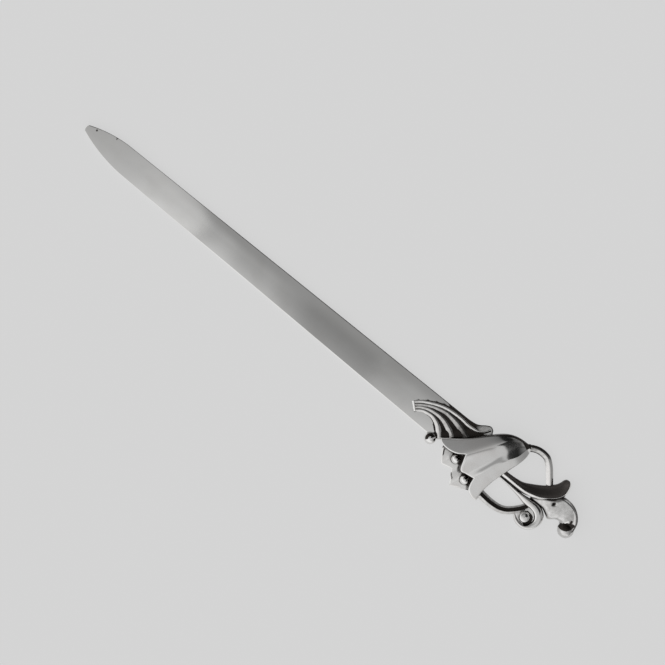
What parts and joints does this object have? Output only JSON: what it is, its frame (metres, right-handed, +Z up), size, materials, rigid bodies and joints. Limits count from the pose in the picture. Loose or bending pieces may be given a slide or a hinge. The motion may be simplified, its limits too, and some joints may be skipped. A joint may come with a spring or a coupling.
{
  "type": "letter opener",
  "caption": "Slim tapered silver letter opener with a lancet point and an openwork handle of a bellflower, a fluted leaf, a curled scroll, a looped stem and a bud.",
  "frame": {"origin": "on the flat back that the opener rests on, on the blade's centreline, at the front corner of the fluted leaf where blade and handle meet", "axes": "+X along the blade from the point towards the handle's end, +Y across the blade towards the stem's loop, +Z up out of the ornamented face"},
  "size_m": [0.2292, 0.0313, 0.0086],
  "materials": {
    "blade_silver": "satin polished silver with fine lengthwise scratches",
    "ornament_silver": "polished silver, darkened in the recesses",
    "blossom_silver": "bright polished silver with soft handling wear",
    "bead_silver": "bright polished silver",
    "oxidised_silver": "oxidised silver with a polished crest"
  },
  "bodies": {
    "root": {"blade": "blade_silver", "fluted_leaf": "ornament_silver", "shoulder_bead": "bead_silver", "blossom_front": "blossom_silver", "blossom_back": "ornament_silver", "upper_stamen_bead": "bead_silver", "lower_stamen_bead": "bead_silver", "stem": "ornament_silver", "channel_leaf": "oxidised_silver", "scroll_strap": "ornament_silver", "scroll_eye": "bead_silver", "tendril": "ornament_silver", "bud": "blossom_silver", "bud_ball": "bead_silver"}
  },
  "joints": []
}
